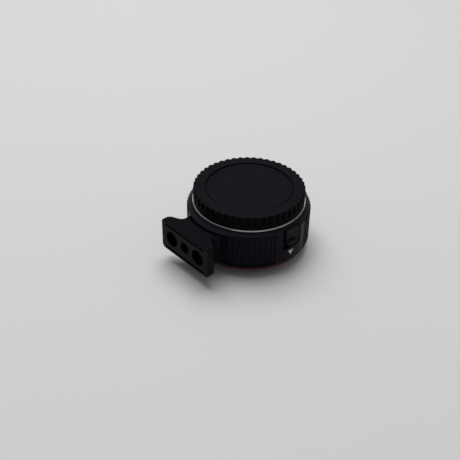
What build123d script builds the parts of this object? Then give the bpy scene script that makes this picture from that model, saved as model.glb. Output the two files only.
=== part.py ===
from build123d import *
import os
from math import cos, pi, radians, sin

# Lens mount adapter standing on its rear bayonet, with the front cap on. Sizes in millimetres.
# Z is the optical axis and Z = 0 the end of the rear spigot. The tripod foot points to -Y.

# Heights of the two flanges
spigot_length = 4.0
register_difference = 26.0
rear_flange = spigot_length
front_flange = rear_flange + register_difference

# Radii that the two mounts set
throat_radius = 27.0
ring_width = 5.5
ring_radius = throat_radius + ring_width
shoulder_width = 3.2
barrel_radius = ring_radius + shoulder_width
barrel_wall = 5.1
barrel_bore = barrel_radius - barrel_wall
throat_step = 7.2
spigot_bore = throat_radius - throat_step
spigot_wall = 1.6
spigot_radius = spigot_bore + spigot_wall

# Clearances
seat_gap = 0.1
slide_gap = 0.15
screw_gap = 0.05
press_gap = 0.02

# Rear bayonet plate
rear_rim_lap = 0.7
rear_rim_radius = barrel_bore + rear_rim_lap
rear_rim_thickness = 0.8
rear_plate_thickness = 2.2
rear_plate_top = rear_flange + rear_plate_thickness
spigot_chamfer = 0.3
rear_tab_reach = 1.5
rear_tab_radius = spigot_radius + rear_tab_reach
rear_tab_thickness = 1.4
rear_tab_bottom = 0.8
rear_tab_count = 3
rear_tab_width = 46
rear_tab_angle = 30
lock_notch_offset = 3.6
lock_notch_circle = spigot_radius + lock_notch_offset
lock_notch_angle = 75
lock_notch_length = 4.0
lock_notch_width = 3.0
lock_notch_depth = 1.2

# Red accent ring, clamped between the rear plate's rim and the barrel
base_taper_width = 1.4
accent_setback = 0.15
accent_radius = barrel_radius - base_taper_width - accent_setback
accent_lip = 0.4
accent_drop = 0.55

# Barrel
barrel_bottom = rear_flange + rear_rim_thickness + accent_lip
base_taper_height = 2.0
shoulder_drop = 0.9
slope_width = 2.8
slope_height = 2.1
slope_edge = 0.3
barrel_top = front_flange - shoulder_drop

# Front bayonet ring and the leaf spring ring under it
ring_thickness = 2.0
ring_bottom = front_flange - ring_thickness
ring_edge = 0.2
lug_reach = 1.6
lug_thickness = 1.4
lug_drop = 0.3
lug_count = 3
lug_width = 56
lug_angle = 30
leaf_thickness = 0.3
leaf_setback = 1.5
leaf_radius = ring_radius - leaf_setback
leaf_finger_width = 40
leaf_finger_drawback = 0.3
shelf_top = ring_bottom - leaf_thickness
shelf_thickness = 3.1
shelf_bottom = shelf_top - shelf_thickness
shelf_setback = 0.6
shelf_bore = throat_radius + shelf_setback

# Ribbed grip pads
pad_angles = (-41.2, 41.2, 138.8, 221.2)
pad_width = 45.6
pad_depth = 0.7
pad_lower_margin = 2.6
pad_upper_margin = 1.7
pad_bottom = barrel_bottom + pad_lower_margin
pad_top = barrel_top - pad_upper_margin
rib_count = 9
rib_pitch = 5.0
rib_radius = 0.85
rib_end_gap = 0.3
end_round_share = 0.9

# Lens release slider
slider_angle = 0.0
recess_floor_depth = 2.2
recess_floor = barrel_radius - recess_floor_depth
recess_width = 13.6
recess_margin = 1.0
recess_top = barrel_top - recess_margin
recess_height = 13.0
recess_corner = 2.0
slider_travel = 2.2
slider_width = 8.2
slider_height = 9.9
slider_corner = 0.8
slider_thickness = 1.4
slider_end_gap = 0.2
slider_bottom = recess_top - recess_height + slider_travel + slider_end_gap
slider_edge = 0.25
ledge_height = 2.5
ledge_reach = 3.3
ledge_tip_width = 6.4
ledge_round = 0.6
prong_offset = 2.4
prong_width = 1.4
prong_height = 3.6
prong_rise = 0.5
prong_bottom = slider_bottom + slider_travel + prong_rise

# Lock pin, its carriage and the coil spring
pin_offset = 1.8
pin_circle = throat_radius + pin_offset
pin_radius = 1.1
pin_reach = 1.4
pin_tip_round = 0.5
carriage_wall = 0.6
carriage_cheek = 0.9
carriage_floor = 1.8
carriage_side_gap = 0.5
carriage_top_gap = 0.3
carriage_inner = pin_circle - pin_radius - carriage_wall
carriage_outer = barrel_bore - carriage_side_gap
carriage_half_width = prong_offset + prong_width / 2 + carriage_cheek
carriage_top = shelf_bottom - carriage_top_gap
carriage_bottom = prong_bottom - carriage_floor
pin_bottom = prong_bottom
prong_past_pin = 0.6
prong_inner = pin_circle - prong_past_pin
spring_radius = 1.5
spring_wire = 0.2
spring_turns = 7
spring_pocket = 1.0
spring_room = 7.1
spring_seat = carriage_bottom - spring_room
spring_seat_thickness = 2.0
spring_end_gap = 0.02

# Inner frame: the light baffle that carries the board and the front contacts
frame_setback = 0.4
frame_bore = spigot_bore + frame_setback
frame_sleeve_wall = 1.2
frame_sleeve_radius = frame_bore + frame_sleeve_wall
frame_flange_thickness = 1.6
frame_gap = 0.3
frame_radius = barrel_bore - frame_gap
frame_flange_bottom = shelf_bottom - frame_flange_thickness

# Front contacts
contact_angle = 270
contact_offset = 2.3
contact_circle = frame_bore + contact_offset
contact_count = 8
contact_pitch = 6.3
contact_radius = 0.45
contact_reach = 0.7
contact_travel = 0.6
contact_length = 3.1
contact_tip_round = 0.3
contact_block_height = 1.0
contact_block_half = 1.9
contact_block_inner = contact_circle - contact_block_half
contact_block_outer = contact_circle + contact_block_half
contact_block_width = 64
contact_block_top = shelf_bottom + contact_block_height
contact_stem_half = 0.8
contact_stem_width = 48.5
contact_stem_play = 0.5
contact_screw_spread = 28.6
contact_screw_angles = (contact_angle - contact_screw_spread, contact_angle + contact_screw_spread)

# Circuit board under the frame's flange
board_inner_gap = 2.6
board_inner = frame_sleeve_radius + board_inner_gap
board_outer_gap = 0.6
board_outer = barrel_bore - board_outer_gap
board_width = 140
board_thickness = 1.0
board_drop = 2.0
board_top = frame_flange_bottom - board_drop
board_bottom = board_top - board_thickness
board_screw_inset = 1.6
board_screw_circle = board_outer - board_screw_inset
board_screw_spread = 62
board_screw_angles = (contact_angle - board_screw_spread, contact_angle, contact_angle + board_screw_spread)
board_boss_radius = 1.7
chip_angle = 236
chip_size = 5.0
chip_length = 6.5
chip_height = 1.1
component_inset = 2.8
component_circle = board_outer - component_inset
capacitor_angles = (289, 294, 299, 304)
capacitor_length = 1.8
capacitor_width = 1.0
capacitor_height = 0.9
regulator_angle = 314
regulator_length = 3.2
regulator_width = 1.8
regulator_height = 1.2
connector_length = 11.5
connector_width = 1.6
connector_height = 1.4

# Flat ribbons
flex_thickness = 0.2
front_flex_lap = 0.7
front_flex_inner = contact_circle - front_flex_lap
front_flex_land = 2.0
front_flex_outer = board_inner + front_flex_land
front_flex_width = 40
rear_flex_width = 9.5
rear_flex_standoff = 0.9
rear_flex_outer = frame_sleeve_radius + rear_flex_standoff
rear_flex_inset = 1.2
rear_flex_inner = spigot_bore - rear_flex_inset
rear_flex_land = 1.2
rear_flex_end = board_inner + rear_flex_land
rear_flex_lift = 0.05
rear_flex_bend = 0.2

# Rear contacts
rear_block_gap = 0.2
rear_block_outer = spigot_bore - rear_block_gap
rear_block_depth = 2.7
rear_block_inner = rear_block_outer - rear_block_depth
rear_block_width = 64
rear_block_bottom = 0.6
rear_ledge_setback = 0.3
rear_ledge_inner = rear_block_inner + rear_ledge_setback
rear_ledge_thickness = 1.6
rear_ledge_bottom = rear_plate_top - rear_ledge_thickness
rear_ledge_width = 68
rear_contact_inset = 1.2
rear_contact_circle = rear_block_inner + rear_contact_inset
rear_contact_count = 10
rear_contact_pitch = 4.6
rear_contact_length = 1.8
rear_contact_width = 1.0
rear_contact_thickness = 0.3
rear_contact_proud = 0.05
rear_contact_screw_spread = 27.4
rear_contact_screw_angles = (
    contact_angle - rear_contact_screw_spread,
    contact_angle + rear_contact_screw_spread,
)

# Tripod foot
foot_angle = 270
foot_standout = 12.55
foot_reach = barrel_radius + foot_standout
foot_width = 39.9
foot_height = 19.2
foot_lift = 0.25
foot_centre = (barrel_bottom + barrel_top) / 2 + foot_lift
foot_top_corner = 1.4
foot_bottom_corner = 2.8
foot_plate = 3.8
foot_sweep = 5.6
foot_sweep_steps = 4
foot_edge = 0.6
neck_width = 25.8
neck_corner = 1.8
root_spread = 0.5
root_width = neck_width + root_spread
root_depth = 4.5
foot_seat_gap = 0.05
groove_end_margin = 3.45
groove_length = foot_width - 2 * groove_end_margin
groove_width = 1.4
groove_depth = 0.9
groove_side_margin = 2.05
groove_offset = foot_height / 2 - groove_side_margin
tripod_radius = 3.175
tripod_depth = 10.0
tripod_chamfer = 0.5
counterbore_spread = 11.0
counterbore_radius = 4.7
counterbore_depth = 5.0
foot_screw_radius = 1.25
foot_screw_length = 13.0
foot_screw_head_radius = 2.25
foot_screw_head = 2.5
foot_screw_hex = 2.0
foot_screw_hex_depth = 1.2

# Front cap
cap_gap = 0.1
cap_height = 7.9
cap_top = front_flange + cap_height
cap_bottom = front_flange + cap_gap
cap_setback = 0.5
cap_radius = ring_radius - cap_setback
cap_edge = 0.5
cap_rim_width = 6.75
cap_recess_radius = cap_radius - cap_rim_width
cap_recess_depth = 0.5
cap_channel_width = 0.5
cap_channel_depth = 0.4
cap_plate = 1.8
cap_plate_bottom = cap_top - cap_recess_depth - cap_plate
cap_rim_wall = 1.4
cap_rim_height = 2.6
cap_wall = 2.4
lobe_count = 48
lobe_phase = 4.35
lobe_groove_radius = 1.25
lobe_groove_depth = 1.05
cap_spigot_gap = 0.4
cap_spigot_radius = throat_radius - lug_reach - cap_spigot_gap
cap_spigot_wall = 1.4
cap_tab_gap = 0.2
cap_tab_thickness = 1.2
cap_tab_top = shelf_top - cap_tab_gap
cap_tab_bottom = cap_tab_top - cap_tab_thickness
cap_tab_side_gap = 0.3
cap_tab_radius = throat_radius - cap_tab_side_gap
cap_tab_width = 50

# Screws: head radius, shank radius and length from the head's top
ring_screw_head = 1.7
ring_screw_shank = 0.85
ring_screw_length = 5.0
ring_screw = (ring_screw_head, ring_screw_shank, ring_screw_length)
ring_screw_circle = (throat_radius + ring_radius) / 2
ring_screw_count = 5
ring_screw_angle = 45
rear_screw_head = 1.9
rear_screw_shank = 0.95
rear_screw_length = 6.0
rear_screw = (rear_screw_head, rear_screw_shank, rear_screw_length)
rear_screw_inset = 3.0
rear_screw_circle = barrel_bore - rear_screw_inset
rear_screw_count = 4
rear_screw_angle = 45
rear_boss_radius = 3.1
rear_boss_height = 6.0
block_screw_head = 1.1
block_screw_shank = 0.6
front_block_screw_length = 2.4
rear_block_screw_length = 5.2
front_block_screw = (block_screw_head, block_screw_shank, front_block_screw_length)
rear_block_screw = (block_screw_head, block_screw_shank, rear_block_screw_length)
screw_head_rim = 0.25
board_screw_head_radius = 1.4
board_screw_head = 1.0
board_screw_radius = 0.75
board_screw_grip = 1.8

# Red lens alignment dot on the shoulder
dot_angle = 90
dot_circle = barrel_radius - slope_width / 2
dot_height = barrel_top - slope_height / 2
dot_radius = 0.8
dot_depth = 0.6

os.makedirs("parts", exist_ok=True)


def polar_point(angle, distance, height):
    """Point at the given angle round the axis, distance from it and height."""
    return Vector(distance * cos(radians(angle)), distance * sin(radians(angle)), height)


def radial_plane(angle, distance, height):
    """Upright plane that faces away from the axis: local x runs round it, local y up."""
    outward = polar_point(angle, 1, 0)
    around = polar_point(angle + 90, 1, 0)
    return Plane(origin=polar_point(angle, distance, height), x_dir=around, z_dir=outward)


def level_plane(angle, height):
    """Level plane turned so that its local x points away from the axis at the given angle."""
    return Plane.XY.offset(height).rotated((0, 0, angle))


def ring_sector(inner, outer, centre, width):
    """Piece of a flat ring that spans the given width in degrees about its centre angle."""
    start = centre - width / 2
    with BuildSketch() as face:
        with BuildLine():
            outer_arc = CenterArc((0, 0), outer, start, width)
            inner_arc = CenterArc((0, 0), inner, start, width)
            Line(outer_arc @ 0, inner_arc @ 0)
            Line(outer_arc @ 1, inner_arc @ 1)
        make_face()
    return face.sketch


def foot_section(width, top_corner, bottom_corner):
    """Cross section of the foot: its full height, with upper and lower corners rounded apart."""
    with BuildSketch() as face:
        Rectangle(width, foot_height)
        fillet(face.vertices().group_by(Axis.Y)[-1], radius=top_corner)
        fillet(face.vertices().group_by(Axis.Y)[0], radius=bottom_corner)
    return face.sketch


def countersunk_screw(size, gap=0.0):
    """Flat-headed screw that points down from its head's top, or its hole when given a gap."""
    head, shank, length = size
    cone_bottom = -screw_head_rim - (head - shank)
    with BuildPart() as screw:
        with BuildSketch(Plane.XZ):
            with BuildLine():
                Polyline(
                    (0, 0),
                    (head + gap, 0),
                    (head + gap, -screw_head_rim),
                    (shank + gap, cone_bottom),
                    (shank + gap, -length - gap),
                    (0, -length - gap),
                    close=True,
                )
            make_face()
        revolve(axis=Axis.Z)
    return screw.part


def spread(centre, pitch, count):
    """Angles of a row of like pieces, evenly spaced about its centre."""
    return [centre + pitch * (index - (count - 1) / 2) for index in range(count)]


# Plane of the alignment dot, square to the shoulder's slope
dot_plane = Plane(
    origin=polar_point(dot_angle, dot_circle, dot_height),
    x_dir=polar_point(dot_angle + 90, 1, 0),
    z_dir=polar_point(dot_angle, slope_height, slope_width),
)

# Underside of the rear flange, where the rear screws go in
rear_face = Plane(origin=(0, 0, rear_flange), x_dir=(1, 0, 0), z_dir=(0, 0, -1))

# One grip rib, a round bar with rounded ends
rib_height = pad_top - pad_bottom - 2 * rib_end_gap
with BuildPart() as rib:
    Cylinder(rib_radius, rib_height, align=(Align.CENTER, Align.CENTER, Align.MIN))
    fillet(rib.edges().filter_by(GeomType.CIRCLE), radius=rib_radius * end_round_share)
rib_circle = barrel_radius - rib_radius

# Barrel: turned body with a sloping shoulder, a seat for the front ring, grip pads and the slider's recess
with BuildPart() as barrel:
    with BuildSketch(Plane.XZ):
        with BuildLine():
            Polyline(
                (barrel_bore, barrel_bottom),
                (barrel_radius - base_taper_width, barrel_bottom),
                (barrel_radius, barrel_bottom + base_taper_height),
                (barrel_radius, barrel_top - slope_height),
                (barrel_radius - slope_width, barrel_top),
                (ring_radius + seat_gap, barrel_top),
                (ring_radius + seat_gap, ring_bottom),
                (leaf_radius + seat_gap, ring_bottom),
                (leaf_radius + seat_gap, shelf_top),
                (shelf_bore, shelf_top),
                (shelf_bore, shelf_bottom),
                (barrel_bore, shelf_bottom),
                close=True,
            )
        make_face()
    revolve(axis=Axis.Z)
    widest = barrel.edges().filter_by(GeomType.CIRCLE).group_by(SortBy.RADIUS)[-1]
    fillet(widest.sort_by(Axis.Z)[-1], radius=slope_edge)
    # Pockets of the grip pads, then their ribs
    with BuildSketch(Plane.XY.offset(pad_bottom)):
        for angle in pad_angles:
            add(ring_sector(barrel_radius - pad_depth, barrel_radius + pad_depth, angle, pad_width))
    extrude(amount=pad_top - pad_bottom, mode=Mode.SUBTRACT)
    rib_angles = [angle for pad in pad_angles for angle in spread(pad, rib_pitch, rib_count)]
    with Locations(*[polar_point(angle, rib_circle, pad_bottom + rib_end_gap) for angle in rib_angles]):
        add(rib.part)
    # Slider recess and the two slots for the slider's prongs
    with BuildSketch(radial_plane(slider_angle, recess_floor, recess_top - recess_height / 2)):
        RectangleRounded(recess_width, recess_height, recess_corner)
    extrude(amount=2 * recess_floor_depth, mode=Mode.SUBTRACT)
    slot_height = prong_height + slider_travel + 2 * slide_gap
    slot_middle = prong_bottom + (prong_height - slider_travel) / 2
    with BuildSketch(radial_plane(slider_angle, carriage_outer, slot_middle)):
        with Locations((-prong_offset, 0), (prong_offset, 0)):
            Rectangle(prong_width + 2 * slide_gap, slot_height)
    extrude(amount=barrel_radius - carriage_outer, mode=Mode.SUBTRACT)
    # Guide for the lock pin through the shelf, open towards the throat
    with BuildSketch(level_plane(slider_angle, shelf_bottom)):
        with Locations((pin_circle, 0)):
            Circle(pin_radius + slide_gap)
        with Locations((pin_circle, 0)):
            Rectangle(
                2 * (pin_circle - shelf_bore),
                2 * (pin_radius + slide_gap),
                align=(Align.MAX, Align.CENTER),
            )
    extrude(amount=shelf_thickness, mode=Mode.SUBTRACT)
    # Seat of the lock spring
    with BuildSketch(level_plane(slider_angle, spring_seat - spring_seat_thickness)):
        with Locations((carriage_inner, 0)):
            Rectangle(
                barrel_bore - carriage_inner + barrel_wall / 2,
                2 * carriage_half_width,
                align=(Align.MIN, Align.CENTER),
            )
    extrude(amount=spring_seat_thickness)
    # Bosses for the rear plate's screws
    with BuildSketch(Plane.XY.offset(rear_plate_top)):
        with PolarLocations(rear_screw_circle, rear_screw_count, rear_screw_angle):
            Circle(rear_boss_radius)
    extrude(amount=rear_boss_height)
    with Locations(rear_face):
        with PolarLocations(rear_screw_circle, rear_screw_count, rear_screw_angle):
            add(countersunk_screw(rear_screw, screw_gap), mode=Mode.SUBTRACT)
    # Threads of the front ring's screws and of the foot's screws
    with Locations(Plane.XY.offset(front_flange)):
        with PolarLocations(ring_screw_circle, ring_screw_count, ring_screw_angle):
            add(countersunk_screw(ring_screw, screw_gap), mode=Mode.SUBTRACT)
    foot_screw_tip = foot_reach - counterbore_depth - foot_screw_length
    with BuildSketch(radial_plane(foot_angle, foot_screw_tip - screw_gap, foot_centre)):
        with Locations((-counterbore_spread, 0), (counterbore_spread, 0)):
            Circle(foot_screw_radius + screw_gap)
    extrude(amount=barrel_radius - foot_screw_tip, mode=Mode.SUBTRACT)
    # Pocket of the alignment dot
    with BuildSketch(dot_plane):
        Circle(dot_radius + press_gap)
    extrude(amount=-dot_depth, mode=Mode.SUBTRACT)
barrel.part.label = "barrel"
export_step(barrel.part, "parts/barrel.step")

# Red dot to line the lens up with
with BuildPart() as index_dot:
    with BuildSketch(dot_plane):
        Circle(dot_radius)
    extrude(amount=-dot_depth)
index_dot.part.label = "index_dot"
export_step(index_dot.part, "parts/index_dot.step")

# Front bayonet ring: flange with three lugs that hold the lens's or the cap's tabs
with BuildPart() as front_bayonet_ring:
    with BuildSketch(Plane.XY.offset(ring_bottom)):
        Circle(ring_radius)
        Circle(throat_radius, mode=Mode.SUBTRACT)
    extrude(amount=ring_thickness)
    rim = front_bayonet_ring.edges().filter_by(GeomType.CIRCLE).group_by(Axis.Z)[-1]
    chamfer(rim, length=ring_edge)
    lug_inner = throat_radius - lug_reach
    with BuildSketch(Plane.XY.offset(front_flange - lug_drop - lug_thickness)):
        for angle in spread(lug_angle, 360 / lug_count, lug_count):
            add(ring_sector(lug_inner, throat_radius + ring_edge, angle, lug_width))
    extrude(amount=lug_thickness)
    with Locations(Plane.XY.offset(front_flange)):
        with PolarLocations(ring_screw_circle, ring_screw_count, ring_screw_angle):
            add(countersunk_screw(ring_screw, screw_gap), mode=Mode.SUBTRACT)
    with BuildSketch(level_plane(slider_angle, ring_bottom)):
        with Locations((pin_circle, 0)):
            Circle(pin_radius + slide_gap)
    extrude(amount=ring_thickness, mode=Mode.SUBTRACT)
front_bayonet_ring.part.label = "front_bayonet_ring"
export_step(front_bayonet_ring.part, "parts/front_bayonet_ring.step")

# Screws of the front ring
with BuildPart(Plane.XY.offset(front_flange)) as front_ring_screws:
    with PolarLocations(ring_screw_circle, ring_screw_count, ring_screw_angle):
        add(countersunk_screw(ring_screw))
front_ring_screws.part.label = "front_ring_screws"
export_step(front_ring_screws.part, "parts/front_ring_screws.step")

# Leaf spring ring, with one finger behind each lug
with BuildPart() as retaining_spring:
    with BuildSketch(Plane.XY.offset(shelf_top)):
        Circle(leaf_radius)
        Circle(throat_radius, mode=Mode.SUBTRACT)
        for angle in spread(lug_angle, 360 / lug_count, lug_count):
            add(
                ring_sector(
                    throat_radius - lug_reach + leaf_finger_drawback,
                    throat_radius + leaf_finger_drawback,
                    angle,
                    leaf_finger_width,
                )
            )
        with PolarLocations(ring_screw_circle, ring_screw_count, ring_screw_angle):
            Circle(ring_screw_shank + screw_gap, mode=Mode.SUBTRACT)
    extrude(amount=leaf_thickness)
    with BuildSketch(level_plane(slider_angle, shelf_top)):
        with Locations((pin_circle, 0)):
            Circle(pin_radius + slide_gap)
    extrude(amount=leaf_thickness, mode=Mode.SUBTRACT)
retaining_spring.part.label = "retaining_spring"
export_step(retaining_spring.part, "parts/retaining_spring.step")

# One groove of the cap's grip: a round-ended cutter
with BuildPart() as lobe_cutter:
    Cylinder(lobe_groove_radius, cap_height, align=(Align.CENTER, Align.CENTER, Align.MIN))
    fillet(
        lobe_cutter.edges().filter_by(GeomType.CIRCLE).sort_by(Axis.Z)[0],
        radius=lobe_groove_radius * end_round_share,
    )

# Front cap: moulded shell with a grip of lobes, a channel round its face, a spigot and three tabs
with BuildPart() as front_cap:
    cap_rim_bore = cap_radius - cap_rim_wall
    cap_wall_bore = cap_radius - cap_wall
    cap_spigot_bore = cap_spigot_radius - cap_spigot_wall
    cap_channel_floor = cap_top - cap_recess_depth - cap_channel_depth
    with BuildSketch(Plane.XZ):
        with BuildLine():
            Polyline(
                (0, cap_plate_bottom),
                (cap_spigot_bore, cap_plate_bottom),
                (cap_spigot_bore, cap_tab_bottom),
                (cap_spigot_radius, cap_tab_bottom),
                (cap_spigot_radius, cap_plate_bottom),
                (cap_wall_bore, cap_plate_bottom),
                (cap_wall_bore, cap_bottom + cap_rim_height),
                (cap_rim_bore, cap_bottom + cap_rim_height),
                (cap_rim_bore, cap_bottom),
                (cap_radius, cap_bottom),
                (cap_radius, cap_top),
                (cap_recess_radius, cap_top),
                (cap_recess_radius, cap_channel_floor),
                (cap_recess_radius - cap_channel_width, cap_channel_floor),
                (cap_recess_radius - cap_channel_width, cap_top - cap_recess_depth),
                (0, cap_top - cap_recess_depth),
                close=True,
            )
        make_face()
    revolve(axis=Axis.Z)
    cap_rim = front_cap.edges().filter_by(GeomType.CIRCLE).group_by(Axis.Z)[-1].sort_by(SortBy.RADIUS)[-1]
    fillet(cap_rim, radius=cap_edge)
    groove_circle = cap_radius + lobe_groove_radius - lobe_groove_depth
    with Locations(Plane.XY.offset(cap_bottom + cap_rim_height)):
        with PolarLocations(groove_circle, lobe_count, lobe_phase + 180 / lobe_count):
            add(lobe_cutter.part, mode=Mode.SUBTRACT)
    with BuildSketch(Plane.XY.offset(cap_tab_bottom)):
        for angle in spread(lug_angle, 360 / lug_count, lug_count):
            add(ring_sector(cap_spigot_radius - cap_spigot_wall / 2, cap_tab_radius, angle, cap_tab_width))
    extrude(amount=cap_tab_thickness)
front_cap.part.label = "front_cap"
export_step(front_cap.part, "parts/front_cap.step")

# Release slider: face plate with a tapered thumb ledge, and two prongs that reach into the carriage
with BuildPart() as release_slider:
    plate_back = recess_floor + slide_gap
    plate_middle = slider_bottom + slider_height / 2
    with BuildSketch(radial_plane(slider_angle, plate_back, plate_middle)):
        RectangleRounded(slider_width, slider_height, slider_corner)
    extrude(amount=slider_thickness)
    fillet(release_slider.faces().sort_by(Axis((0, 0, 0), (1, 0, 0)))[-1].edges(), radius=slider_edge)
    with BuildSketch(radial_plane(slider_angle, plate_back, slider_bottom + ledge_height / 2)):
        RectangleRounded(slider_width, ledge_height, slider_corner)
    with BuildSketch(radial_plane(slider_angle, plate_back + ledge_reach, slider_bottom + ledge_height / 2)):
        RectangleRounded(ledge_tip_width, ledge_height, slider_corner)
    loft()
    fillet(release_slider.faces().sort_by(Axis((0, 0, 0), (1, 0, 0)))[-1].edges(), radius=ledge_round)
    with BuildSketch(radial_plane(slider_angle, prong_inner, prong_bottom + prong_height / 2)):
        with Locations((-prong_offset, 0), (prong_offset, 0)):
            Rectangle(prong_width, prong_height)
    extrude(amount=plate_back - prong_inner)
release_slider.part.label = "release_slider"
export_step(release_slider.part, "parts/release_slider.step")

# Carriage inside the barrel, pressed on the prongs, with the lock pin in its top
with BuildPart() as lock_carriage:
    with BuildSketch(level_plane(slider_angle, carriage_bottom)):
        with Locations((carriage_inner, 0)):
            Rectangle(
                carriage_outer - carriage_inner,
                2 * carriage_half_width,
                align=(Align.MIN, Align.CENTER),
            )
    extrude(amount=carriage_top - carriage_bottom)
    with BuildSketch(radial_plane(slider_angle, prong_inner - press_gap, prong_bottom + prong_height / 2)):
        with Locations((-prong_offset, 0), (prong_offset, 0)):
            Rectangle(prong_width + 2 * press_gap, prong_height + 2 * press_gap)
    extrude(amount=carriage_outer, mode=Mode.SUBTRACT)
    with BuildSketch(level_plane(slider_angle, pin_bottom)):
        with Locations((pin_circle, 0)):
            Circle(pin_radius + press_gap)
    extrude(amount=carriage_top - pin_bottom, mode=Mode.SUBTRACT)
    with BuildSketch(level_plane(slider_angle, carriage_bottom)):
        with Locations((pin_circle, 0)):
            Circle(spring_radius + spring_wire + slide_gap)
    extrude(amount=spring_pocket, mode=Mode.SUBTRACT)
lock_carriage.part.label = "lock_carriage"
export_step(lock_carriage.part, "parts/lock_carriage.step")

# Lock pin
with BuildPart() as lock_pin:
    with BuildSketch(level_plane(slider_angle, pin_bottom)):
        with Locations((pin_circle, 0)):
            Circle(pin_radius)
    extrude(amount=front_flange + pin_reach - pin_bottom)
    fillet(lock_pin.edges().sort_by(Axis.Z)[-1], radius=pin_tip_round)
lock_pin.part.label = "lock_pin"
export_step(lock_pin.part, "parts/lock_pin.step")

# Coil spring between its seat and the carriage
spring_length = carriage_bottom + spring_pocket - spring_seat - 2 * (spring_wire + spring_end_gap)
spring_foot = polar_point(slider_angle, pin_circle, spring_seat + spring_wire + spring_end_gap)
with BuildPart() as lock_spring:
    with BuildLine(Plane(origin=spring_foot)):
        coil = Helix(pitch=spring_length / spring_turns, height=spring_length, radius=spring_radius)
    with BuildSketch(Plane(origin=coil @ 0, z_dir=coil % 0)):
        Circle(spring_wire)
    sweep(path=coil, is_frenet=True)
lock_spring.part.label = "lock_spring"
export_step(lock_spring.part, "parts/lock_spring.step")

# Inner frame: sleeve round the light path, flange, board bosses and a slot for the contact stem
with BuildPart() as inner_frame:
    with BuildSketch(Plane.XZ):
        with BuildLine():
            Polyline(
                (frame_bore, rear_plate_top),
                (frame_sleeve_radius, rear_plate_top),
                (frame_sleeve_radius, frame_flange_bottom),
                (frame_radius, frame_flange_bottom),
                (frame_radius, shelf_bottom),
                (frame_bore, shelf_bottom),
                close=True,
            )
        make_face()
    revolve(axis=Axis.Z)
    with BuildSketch(Plane.XY.offset(board_top)):
        for angle in board_screw_angles:
            with PolarLocations(board_screw_circle, 1, angle):
                Circle(board_boss_radius)
    extrude(amount=board_drop)
    with BuildSketch(Plane.XY.offset(board_top)):
        for angle in board_screw_angles:
            with PolarLocations(board_screw_circle, 1, angle):
                Circle(board_screw_radius + screw_gap)
    extrude(amount=board_screw_grip + screw_gap, mode=Mode.SUBTRACT)
    with BuildSketch(Plane.XY.offset(frame_flange_bottom)):
        add(
            ring_sector(
                contact_circle - contact_stem_half - seat_gap,
                contact_circle + contact_stem_half + seat_gap,
                contact_angle,
                contact_stem_width + contact_stem_play,
            )
        )
    extrude(amount=frame_flange_thickness, mode=Mode.SUBTRACT)
    with Locations(Plane.XY.offset(contact_block_top)):
        for angle in contact_screw_angles:
            with PolarLocations(contact_circle, 1, angle):
                add(countersunk_screw(front_block_screw, screw_gap), mode=Mode.SUBTRACT)
    # Room for the lock carriage, and a notch where the rear ribbon passes under the sleeve
    with BuildSketch(level_plane(slider_angle, frame_flange_bottom)):
        with Locations((carriage_inner - 2 * slide_gap, 0)):
            Rectangle(
                frame_radius,
                2 * (carriage_half_width + 2 * slide_gap),
                align=(Align.MIN, Align.CENTER),
            )
    extrude(amount=frame_flange_thickness, mode=Mode.SUBTRACT)
    with BuildSketch(level_plane(contact_angle, rear_plate_top)):
        with Locations((frame_bore - frame_sleeve_wall, 0)):
            Rectangle(
                3 * frame_sleeve_wall,
                rear_flex_width + 4 * seat_gap,
                align=(Align.MIN, Align.CENTER),
            )
    extrude(amount=rear_flex_lift + flex_thickness + seat_gap, mode=Mode.SUBTRACT)
inner_frame.part.label = "inner_frame"
export_step(inner_frame.part, "parts/inner_frame.step")

# Front contact block: curved bar with a stem through the frame's flange and bores for the pins
contact_angles = spread(contact_angle, contact_pitch, contact_count)
contact_tip = contact_block_top + contact_reach
contact_bottom = contact_tip - contact_length
with BuildPart() as front_contact_block:
    with BuildSketch(Plane.XY.offset(shelf_bottom)):
        add(ring_sector(contact_block_inner, contact_block_outer, contact_angle, contact_block_width))
    extrude(amount=contact_block_height)
    with BuildSketch(Plane.XY.offset(board_top + flex_thickness)):
        add(
            ring_sector(
                contact_circle - contact_stem_half,
                contact_circle + contact_stem_half,
                contact_angle,
                contact_stem_width,
            )
        )
    extrude(until=Until.NEXT, target=front_contact_block.part)
    with BuildSketch(Plane.XY.offset(contact_block_top)):
        for angle in contact_angles:
            with PolarLocations(contact_circle, 1, angle):
                Circle(contact_radius + screw_gap)
    extrude(amount=contact_bottom - contact_travel - seat_gap - contact_block_top, mode=Mode.SUBTRACT)
    with Locations(Plane.XY.offset(contact_block_top)):
        for angle in contact_screw_angles:
            with PolarLocations(contact_circle, 1, angle):
                add(countersunk_screw(front_block_screw, screw_gap), mode=Mode.SUBTRACT)
front_contact_block.part.label = "front_contact_block"
export_step(front_contact_block.part, "parts/front_contact_block.step")

# Sprung contact pins
for number, angle in enumerate(contact_angles, start=1):
    with BuildPart() as contact_pin:
        with BuildSketch(level_plane(angle, contact_bottom)):
            with Locations((contact_circle, 0)):
                Circle(contact_radius)
        extrude(amount=contact_length)
        fillet(contact_pin.edges().sort_by(Axis.Z)[-1], radius=contact_tip_round)
    contact_pin.part.label = f"contact_pin_{number}"
    export_step(contact_pin.part, f"parts/contact_pin_{number}.step")

# Screws of the front contact block
with BuildPart(Plane.XY.offset(contact_block_top)) as front_contact_screws:
    for angle in contact_screw_angles:
        with PolarLocations(contact_circle, 1, angle):
            add(countersunk_screw(front_block_screw))
front_contact_screws.part.label = "front_contact_screws"
export_step(front_contact_screws.part, "parts/front_contact_screws.step")

# Flat ribbon between the contact stem and the board
with BuildPart() as front_flex:
    with BuildSketch(Plane.XY.offset(board_top)):
        add(ring_sector(front_flex_inner, front_flex_outer, contact_angle, front_flex_width))
    extrude(amount=flex_thickness)
front_flex.part.label = "front_flex"
export_step(front_flex.part, "parts/front_flex.step")

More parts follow.
